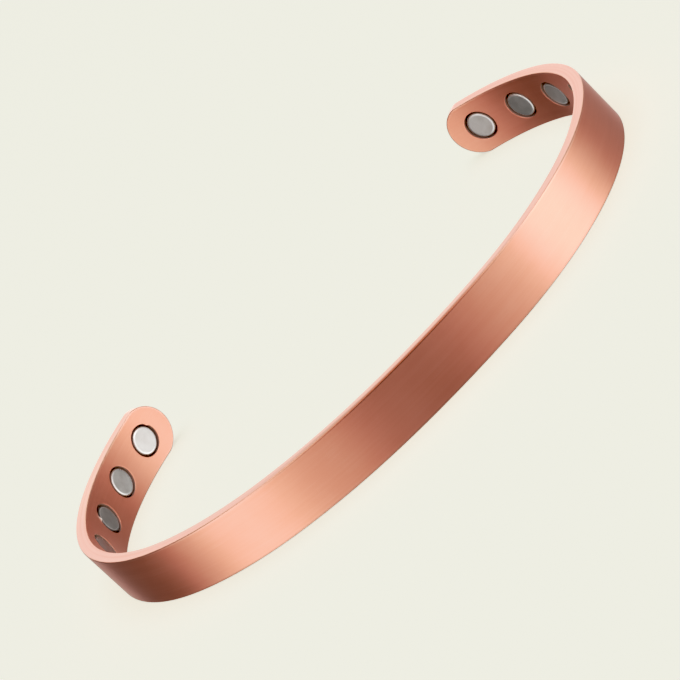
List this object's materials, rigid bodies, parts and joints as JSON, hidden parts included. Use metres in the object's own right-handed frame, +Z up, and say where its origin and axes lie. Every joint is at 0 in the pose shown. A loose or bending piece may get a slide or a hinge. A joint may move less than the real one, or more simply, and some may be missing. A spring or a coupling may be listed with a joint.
{
  "type": "magnetic bracelet",
  "caption": "Open cuff bracelet bent from a flat copper strip with round tips and rounded edges, with disc magnets set flush into its inner face near both tips.",
  "frame": {"origin": "centre of the cuff's bounding box, on the surface it lies on", "axes": "+X from the left bend to the right bend, +Y from the back to the opening between the tips, +Z up, along the wrist's axis"},
  "size_m": [0.0782, 0.0536, 0.007],
  "materials": {
    "copper": "finely brushed satin copper, a little darker and redder in places",
    "magnet_plating": "satin nickel plating with a brighter rim"
  },
  "bodies": {
    "root": {"band": "copper", "magnet_left_1": "magnet_plating", "magnet_left_2": "magnet_plating", "magnet_left_3": "magnet_plating", "magnet_left_4": "magnet_plating", "magnet_right_1": "magnet_plating", "magnet_right_2": "magnet_plating", "magnet_right_3": "magnet_plating", "magnet_right_4": "magnet_plating"}
  },
  "joints": []
}
